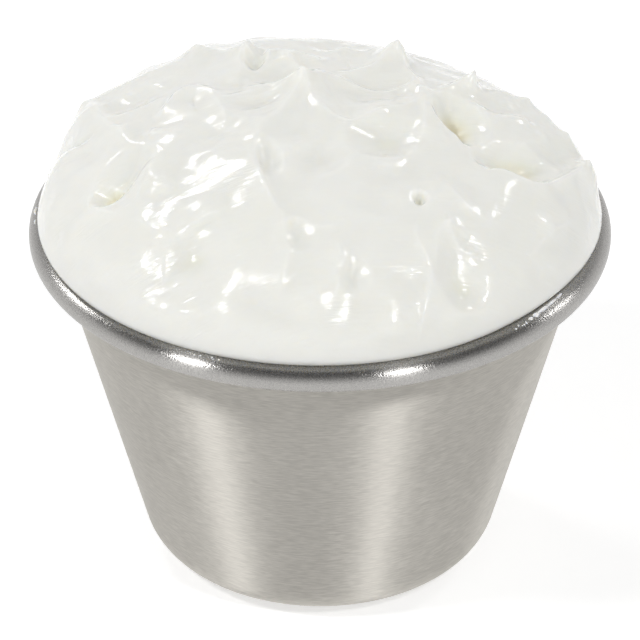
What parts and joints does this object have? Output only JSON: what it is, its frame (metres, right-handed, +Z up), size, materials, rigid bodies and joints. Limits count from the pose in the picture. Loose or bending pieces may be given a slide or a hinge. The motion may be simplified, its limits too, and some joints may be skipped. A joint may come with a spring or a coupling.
{
  "type": "bowl of sour cream",
  "caption": "Tapered round stainless sauce cup with a rolled rim, filled and heaped with spooned sour cream in glossy folds and peaks.",
  "frame": {"origin": "middle of the cup's flat underside", "axes": "+Z up out of the cup, -Y towards the side that shows the heap's big scoop, +X to the right seen from there"},
  "size_m": [0.066, 0.066, 0.0586],
  "materials": {
    "steel": "fine circumferential brushing",
    "cream": "wet gloss"
  },
  "bodies": {
    "root": {"sauce_cup": "steel", "sour_cream": "cream"}
  },
  "joints": []
}
